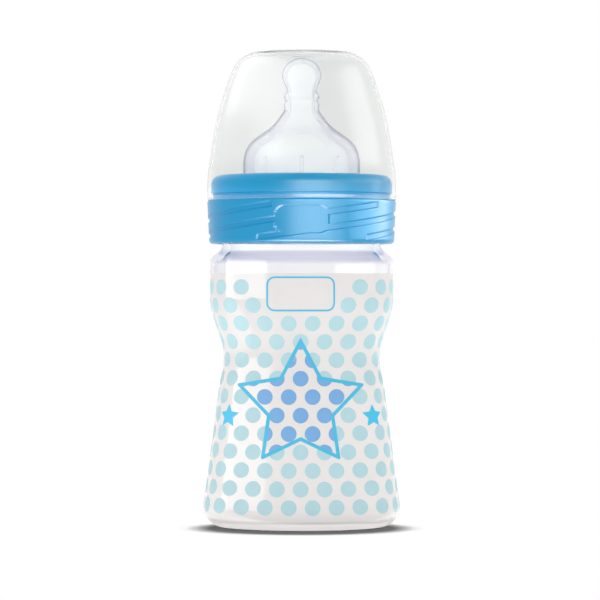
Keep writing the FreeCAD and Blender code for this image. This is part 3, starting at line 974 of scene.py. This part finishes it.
def ranged(tree, value, low, high, smooth=False, **ends):
    """How far a value is on its way from low to high, from 0 to 1 or between other ends."""
    settings = {"interpolation_type": "SMOOTHSTEP" if smooth else "LINEAR"}
    return add(tree, "MapRange", settings, Value=value, From_Min=low, From_Max=high, **ends)


def mixed(tree, share, first, second, blend="MIX"):
    """Colour mixed from two colours."""
    settings = {"data_type": "RGBA", "blend_type": blend}
    return add(tree, "Mix", settings, {0: share, 6: first, 7: second}).outputs[2]


def mixed_numbers(tree, share, first, second):
    return add(tree, "Mix", {"data_type": "FLOAT"}, {0: share, 2: first, 3: second})


def mixed_shaders(tree, *parts):
    """Shader mixed by a share from two others."""
    return add(tree, "MixShader", None, enumerate(parts))


def new_group(name, inputs, outputs):
    """Shader node group with named sockets: its tree, the sockets it starts from and its end node."""
    tree = bpy.data.node_groups.new(name, "ShaderNodeTree")
    for label, value in inputs.items():
        kind = "NodeSocketColor" if isinstance(value, tuple) else "NodeSocketFloat"
        socket = tree.interface.new_socket(label, in_out="INPUT", socket_type=kind)
        socket.default_value = value
    for label in outputs:
        kind = "NodeSocketColor" if label == "Color" else "NodeSocketFloat"
        tree.interface.new_socket(label, in_out="OUTPUT", socket_type=kind)
    return tree, tree.nodes.new("NodeGroupInput").outputs, tree.nodes.new("NodeGroupOutput")


def moulded_skin():
    """Fine grain of a mould and broad changes of gloss, as a roughness and a height."""
    tree, start, end = new_group(
        "moulded_skin",
        {"Grain Scale": 3500.0, "Smudge Scale": 90.0, "Smooth": 0.2, "Dull": 0.35},
        ("Roughness", "Height"))
    place = here(tree)
    smudge = noise(tree, place, start["Smudge Scale"], Detail=4.0, Roughness=0.6, Distortion=0.6)
    gloss = ranged(tree, smudge, 0.3, 0.7, To_Min=start["Smooth"], To_Max=start["Dull"])
    grain = noise(tree, place, start["Grain Scale"], Detail=3.0, Roughness=0.55)
    feed(tree, end, Roughness=gloss, Height=grain)
    return tree


def tone_drift():
    """Slow change of a colour's tone over a moulded or printed surface."""
    tree, start, end = new_group(
        "tone_drift",
        {
            "Light": (0.8, 0.8, 0.8, 1.0), "Deep": (0.7, 0.7, 0.7, 1.0),
            "Scale": 40.0, "Speckle Scale": 2500.0,
        },
        ("Color",))
    place = here(tree)
    slow = noise(tree, place, start["Scale"], Detail=2.0)
    speckle = noise(tree, place, start["Speckle Scale"], Detail=1.0)
    drift = ranged(tree, mixed_numbers(tree, 0.3, slow, speckle), 0.35, 0.65)
    feed(tree, end, Color=mixed(tree, drift, start["Light"], start["Deep"]))
    return tree


def hairlines():
    """Faint scratches from handling and washing, added to a roughness."""
    tree, start, end = new_group(
        "hairlines", {"Roughness": 0.1, "Scale": 120.0, "Amount": 0.2}, ("Roughness",))
    place = here(tree)
    total = 0.0
    for tilt in (0.5, -0.9, 2.1):
        drawn = add(tree, "Mapping", Vector=place, Rotation=(tilt, tilt * 0.7, tilt), Scale=(1.0, 1.0, 0.06))
        line = noise(tree, drawn, start["Scale"], Detail=2.0, Distortion=0.3)
        total = reckoned(tree, "MAXIMUM", total, ranged(tree, line, 0.63, 0.7))
    feed(tree, end, Roughness=reckoned(tree, "MULTIPLY_ADD", total, start["Amount"], start["Roughness"]))
    return tree


def clear_rim():
    """Lets a clear wall be plain near its rim, where it hugs another piece, with a polished edge."""
    tree, start, end = new_group(
        "clear_rim",
        {
            "Color": (0.9, 0.9, 0.9, 1.0), "Plain": (1.0, 1.0, 1.0, 1.0), "Coat": 0.4,
            "Low": 0.1005, "High": 0.1045, "Gap": 0.007, "Edge": 0.1005,
        },
        ("Color", "Coat"))
    height = height_of(tree)
    share = ranged(tree, height, start["Low"], start["High"], smooth=True)
    above = reckoned(tree, "SUBTRACT", height, start["Gap"])
    glossy = ranged(tree, above, start["Low"], start["High"], smooth=True)
    gloss = reckoned(tree, "MULTIPLY", glossy, start["Coat"])
    edge = reckoned(tree, "LESS_THAN", height, start["Edge"])
    colour = mixed(tree, share, start["Plain"], start["Color"])
    feed(tree, end, Color=colour, Coat=reckoned(tree, "MAXIMUM", gloss, edge))
    return tree


def shoulder_zone():
    """Paints shade on a clear wall in a zone of heights, a tint across the shoulder, and leaves it plainer
    above that zone, with a lighter colour there as painted light on the neck under the collar's shade.
    """
    tree, start, end = new_group(
        "shoulder_zone",
        {
            "Color": (0.9, 0.9, 0.9, 1.0), "Tint": (0.82, 0.82, 0.91, 1.0), "Plain": (1.0, 1.0, 1.0, 1.0),
            "Coat": 1.0, "Plain Coat": 0.3, "Start": 0.0802, "Full": 0.0814, "Fade": 0.083, "End": 0.0842,
        },
        ("Color", "Coat"))
    height = height_of(tree)
    within = ranged(tree, height, start["Start"], start["Full"], smooth=True)
    above = ranged(tree, height, start["Fade"], start["End"], smooth=True)
    # The tint is painted shade across the shoulder, and the plain colour above it is painted light on the
    # neck.
    tinted = mixed(tree, within, start["Color"], start["Tint"])
    coat = mixed_numbers(tree, above, start["Coat"], start["Plain Coat"])
    feed(tree, end, Color=mixed(tree, above, tinted, start["Plain"]), Coat=coat)
    return tree


GLOW_SHARE = 0.32
RIM = clear_rim()
SHOULDER_SHADE_NECK_LIGHT = shoulder_zone()
SKIN = moulded_skin()
TONE = tone_drift()
SCRATCHES = hairlines()


def placed(tree, group, **values):
    """An effect placed in a finish with its own values."""
    return add(tree, "Group", {"node_tree": group}, **values)


def blank(owner):
    """Emptied node tree of a material or a world."""
    owner.use_nodes = True
    owner.node_tree.nodes.clear()
    return owner.node_tree


def edge_tint(tree, colour, stops):
    """Tints a clear colour where it is seen edge on: stops below 1 darken it, as light is on its long way
    through a wall, and stops above 1 lighten it as a painted reflection.
    """
    facing = add(tree, "LayerWeight", Blend=0.5)
    ramp = add(tree, "ValToRGB", Fac=facing.outputs["Facing"])
    while len(ramp.color_ramp.elements) < len(stops):
        ramp.color_ramp.elements.new(0.5)
    for element, (share, *tint) in zip(ramp.color_ramp.elements, stops):
        element.position = share
        element.color = (*tint, 1.0)
    return mixed(tree, 1.0, colour, ramp, "MULTIPLY")


def let_lamps_through(tree, surface, tint):
    """Lets lamps shine through a surface, tinted, so that what is inside is lit."""
    path = add(tree, "LightPath")
    clear = add(tree, "BsdfTransparent", Color=(*tint, 1.0))
    return mixed_shaders(tree, path.outputs["Is Shadow Ray"], surface, clear)


def finish(name, light, deep, smooth, dull, grain_depth, scratch, drift=40.0,
           zone=None, stops=None, glow=None, lamps=None, **constants):
    """Material with tone, grain and scratches on one Principled shader.

    It can have an effect by height with its coat (on the bottle, painted shade and light), a tint with its
    stops (on the cap, also a painted reflection at its edges), a colour of light that glows through it and a
    tint for the lamps that shine through it.
    """
    made = bpy.data.materials.new(name)
    tree = blank(made)
    colour = placed(tree, TONE, Light=(*light, 1.0), Deep=(*deep, 1.0), Scale=drift)
    if zone:
        colour = placed(tree, zone[0], Color=colour, Coat=zone[1])
        constants["Coat_Weight"] = colour.outputs["Coat"]
    if stops:
        colour = edge_tint(tree, colour, stops)
    skin = placed(tree, SKIN, Smooth=smooth, Dull=dull)
    lines = placed(tree, SCRATCHES, Roughness=skin.outputs["Roughness"], Amount=scratch)
    bump = add(tree, "Bump", Strength=1.0, Distance=grain_depth, Height=skin.outputs["Height"])
    surface = add(tree, "BsdfPrincipled", Base_Color=colour, Roughness=lines, Normal=bump, **constants)
    if glow:
        through = add(tree, "BsdfTranslucent", Color=(*glow, 1.0))
        surface = mixed_shaders(tree, GLOW_SHARE, surface, through)
    if lamps:
        surface = let_lamps_through(tree, surface, lamps)
    add(tree, "OutputMaterial", Surface=surface)
    return made


def clear_bottle_finish():
    return finish(
        "clear_bottle", (0.945, 0.945, 0.955), (0.925, 0.925, 0.94),
        smooth=0.05, dull=0.1, grain_depth=0.000002, scratch=0.05,
        # Its zone paints shade on the shoulder and light on the neck.
        zone=(SHOULDER_SHADE_NECK_LIGHT, 0.75), lamps=(0.96, 0.96, 0.97),
        stops=((0.5, 1.0, 1.0, 1.0), (0.72, 0.95, 0.95, 0.98),
               (0.88, 0.78, 0.79, 0.87), (1.0, 0.7, 0.7, 0.8)),
        Transmission_Weight=0.95, IOR=1.02, Coat_Roughness=0.06, Coat_IOR=1.45)


def silicone_finish():
    return finish(
        "teat_silicone", (0.995, 0.995, 1.0), (0.985, 0.985, 0.992),
        smooth=0.06, dull=0.12, grain_depth=0.000003, scratch=0.02,
        lamps=(0.97, 0.97, 0.98),
        stops=((0.3, 1.0, 1.0, 1.0), (0.52, 0.95, 0.95, 0.98),
               (0.66, 0.84, 0.84, 0.92), (0.78, 0.22, 0.22, 0.32)),
        Transmission_Weight=0.75, IOR=1.18, Coat_Weight=0.4, Coat_Roughness=0.12, Coat_IOR=1.41)


def cap_finish():
    return finish(
        "cap_plastic", (0.87, 0.885, 0.878), (0.85, 0.865, 0.857),
        smooth=0.06, dull=0.12, grain_depth=0.0000005, scratch=0.05,
        zone=(RIM, 0.4), lamps=(0.97, 0.975, 0.97),
        # Stops above 1 paint the cap lighter where it is seen edge on, a painted reflection of its white
        # surroundings.
        stops=((0.35, 1.0, 1.0, 1.0), (0.6, 1.03, 1.025, 1.025), (0.8, 1.07, 1.06, 1.06)),
        Transmission_Weight=1.0, IOR=1.04, Coat_Roughness=0.28, Coat_IOR=1.49)


def collar_finish():
    return finish(
        "collar_plastic", (0.008, 0.31, 0.59), (0.005, 0.285, 0.56),
        smooth=0.3, dull=0.38, grain_depth=0.000006, scratch=0.06,
        IOR=1.5, Specular_IOR_Level=0.26, Sheen_Weight=0.35, Sheen_Roughness=0.3)


def field_finish():
    return finish(
        "print_white", (0.76, 0.74, 0.732), (0.735, 0.715, 0.707),
        smooth=0.08, dull=0.14, grain_depth=0.000002, scratch=0.05,
        glow=(0.85, 0.84, 0.83), lamps=(0.9, 0.89, 0.88), IOR=1.45)


def ink_finish(name, light, deep):
    return finish(
        name, light, deep, smooth=0.45, dull=0.6, grain_depth=0.000003, scratch=0.03, drift=160.0,
        lamps=(0.75, 0.8, 0.82), IOR=1.4, Specular_IOR_Level=0.15)


def painted(piece, material, body, slot=None, *nodes):
    """Gives a piece its finish and the body it moves with, and hides the nodes it stands for. Its slot is
    not used.
    """
    piece.data.materials.clear()
    piece.data.materials.append(material)
    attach(piece, body)
    if nodes:
        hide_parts(*nodes)
    return piece


BOTTLE = painted(bottle_wall(), clear_bottle_finish(), "bottle", "bottle_plastic", "bottle_body")
TEAT = painted(teat_shell(), silicone_finish(), "teat", "teat_silicone", "teat")
COLLAR = painted(collar_ring(), collar_finish(), "collar", "collar_plastic", "screw_collar")
CAP = painted(cap_dome(), cap_finish(), "cap", "cap_plastic", "protective_cap")

WHITE = field_finish()
PALE_INK = ink_finish("ink_pale_aqua", (0.44, 0.64, 0.68), (0.415, 0.615, 0.66))
BRIGHT_INK = ink_finish("ink_bright_aqua", (0.09, 0.485, 0.7), (0.075, 0.46, 0.675))
SMALL_INK = ink_finish("ink_clear_aqua", (0.08, 0.54, 0.78), (0.065, 0.51, 0.755))
VIOLET_INK = ink_finish("ink_periwinkle", (0.195, 0.4, 0.69), (0.18, 0.38, 0.665))

INKS = {
    "print_dots": PALE_INK,
    "print_star_ground": WHITE,
    "print_star_dots": VIOLET_INK,
    "print_star_outline": BRIGHT_INK,
    "print_small_stars": SMALL_INK,
    "print_name_field": BRIGHT_INK,
}
PRINT = [painted(print_field(), WHITE, "bottle")]
for (name, ink), shape in zip(INKS.items(), print_shapes()):
    PRINT.append(painted(mesh_piece(name, *shape), ink, "bottle"))
PRINT.append(painted(mesh_piece("print_scale", *print_scale()), BRIGHT_INK, "bottle"))


# Floor, lights, world and camera: rings, drop and sensor in millimetres, other lengths in metres

FLOOR_RINGS = (0.0, 50.0, 100.0, 200.0, 500.0, 1200.0, 3000.0)
FLOOR_DROP = 0.1
SHADOW_MIDDLE = (0.0, -0.008, 0.0)
SHADOW_R = (0.033, 0.06)
CONTACT_R = (0.031, 0.042)
# Ring round the base where the floor's paint darkens, a painted contact shadow, down to the contact shade.
PAINTED_SHADOW_R = (0.028, 0.035)
FLOOR_LIFT = 0.38
CONTACT_SHADE = 0.18
FLOOR_PAINT = 0.86
BOUNCE = 0.35
AMBIENT = 0.8
CAMERA_PLACE = (-0.0005, -1.1, 0.069)
PHOTO_WIDTH = 0.183
SENSOR = 36.0
CLIP_END = 20.0
AIM_Z = 0.075


def straight_sight(tree):
    """Tells a ray from the camera, from a mirror or through glass, as 1, from all others, as 0."""
    path = add(tree, "LightPath").outputs
    mirrored = reckoned(tree, "MAXIMUM", path["Is Glossy Ray"], path["Is Transmission Ray"])
    return reckoned(tree, "MAXIMUM", path["Is Camera Ray"], mirrored)


def glowing(tree, strength):
    return add(tree, "Emission", Strength=strength)


def added(tree, *parts):
    return add(tree, "AddShader", None, enumerate(parts))


def studio_floor():
    """White floor that keeps the object's shadow near it, with a painted contact shadow in a ring round the
    base, and is plain white further off.
    """
    outline = [(reach, -FLOOR_DROP) for reach in FLOOR_RINGS]
    floor = mesh_piece("studio_floor", *turned(outline, even_turns(FLOOR_STEPS)))
    made = bpy.data.materials.new("floor_white")
    tree = blank(made)
    gap = add(tree, "VectorMath", {"operation": "DISTANCE"}, {0: here(tree), 1: SHADOW_MIDDLE})
    reach = gap.outputs["Value"]
    # Painted contact shadow: the floor's paint is darker in a ring round the base, its middle shifted to the
    # front.
    painted_shadow = ranged(tree, reach, *PAINTED_SHADOW_R, To_Min=CONTACT_SHADE, To_Max=FLOOR_PAINT)
    paint = add(tree, "BsdfDiffuse", Color=painted_shadow)
    lift = ranged(tree, reach, *CONTACT_R, To_Max=FLOOR_LIFT)
    shaded = added(tree, paint, glowing(tree, lift))
    near = ranged(tree, reach, *SHADOW_R, smooth=True)
    seen = mixed_shaders(tree, near, shaded, glowing(tree, 1.0))
    unseen = added(tree, paint, glowing(tree, BOUNCE))
    add(tree, "OutputMaterial", Surface=mixed_shaders(tree, straight_sight(tree), unseen, seen))
    floor.data.materials.append(made)


def studio_world(ambient):
    """White surroundings for sight, mirrors and glass, and a softer even light for everything else."""
    world = bpy.data.worlds.new("studio")
    bpy.context.scene.world = world
    tree = blank(world)
    white = (1.0, 1.0, 1.0, 1.0)
    lights = [add(tree, "Background", Color=white, Strength=strength) for strength in (ambient, 1.0)]
    add(tree, "OutputWorld", Surface=mixed_shaders(tree, straight_sight(tree), *lights))


def softbox(name, turn, lift, far, width, height, radiance, mirrored, pieces=None, through=False):
    """Rectangular lamp round the object, seen either in mirrors alone or in matt surfaces alone.

    The turn is from the camera's side towards the right, the lift above level, both in degrees.
    A lamp can be kept to some pieces, and can shine through everything else.
    """
    lamp = bpy.data.lights.new(name, "AREA")
    lamp.shape = "RECTANGLE"
    lamp.size = width
    lamp.size_y = height
    lamp.energy = radiance * math.pi * width * height
    holder = shown(name, lamp)
    turn, lift = math.radians(turn), math.radians(lift)
    level = far * math.cos(lift)
    holder.location = (level * math.sin(turn), -level * math.cos(turn), AIM_Z + far * math.sin(lift))
    holder.rotation_euler = (math.pi / 2 - lift, 0, turn)
    holder.visible_camera = False
    holder.visible_transmission = False
    holder.visible_diffuse = not mirrored
    holder.visible_glossy = mirrored
    if pieces:
        lit = bpy.data.collections.new(name + "_pieces")
        for piece in pieces:
            lit.objects.link(piece)
        holder.light_linking.receiver_collection = lit
        if through:
            holder.light_linking.blocker_collection = lit


def studio_camera():
    view = bpy.data.cameras.new("camera")
    view.sensor_width = SENSOR
    view.lens = SENSOR * -CAMERA_PLACE[1] / PHOTO_WIDTH
    view.clip_end = CLIP_END
    holder = shown("camera", view)
    holder.location = CAMERA_PLACE
    holder.rotation_euler = (math.radians(90), 0, 0)
    bpy.context.scene.camera = holder


studio_floor()
studio_world(AMBIENT)
softbox("body_left_window", -77, 0, 1.0, 1.25, 0.9, 5.8, True, [BOTTLE] + PRINT, through=True)
softbox("body_low_window", -77, -42, 1.0, 1.15, 0.65, 8.5, True, [BOTTLE] + PRINT, through=True)
softbox("cap_left_window", -80, 45, 1.0, 2.2, 0.85, 6.0, True, [CAP, TEAT])
softbox("cap_right_window", 93, 22, 1.0, 0.75, 0.65, 4.0, True, [CAP, TEAT])
softbox("collar_front_panel", 14, 8, 1.3, 1.3, 1.0, 19.0, True, [COLLAR])
softbox("collar_right_panel", 96, 14, 1.1, 1.4, 1.0, 13.0, True, [COLLAR])
softbox("cap_rim_panel", 29, 0, 1.3, 2.0, 0.2, 14.0, True, [CAP])
softbox("collar_low_panel", 8, -60, 1.0, 1.2, 1.0, 32.0, True, [COLLAR], through=True)
softbox("heel_light", 0, -80, 0.5, 0.6, 0.6, 6.2, False, PRINT, through=True)
softbox("teat_fill", 0, -8, 1.3, 0.9, 0.9, 1.1, False, [TEAT], through=True)
softbox("bottle_fill", 0, 2, 1.3, 0.9, 0.9, 3.0, False, [BOTTLE])
softbox("front_fill", 12, 22, 1.3, 0.9, 0.9, 0.5, False)
softbox("top_light", 0, 88, 1.0, 0.9, 0.9, 0.6, False)
studio_camera()
bpy.context.scene.view_settings.view_transform = "Standard"
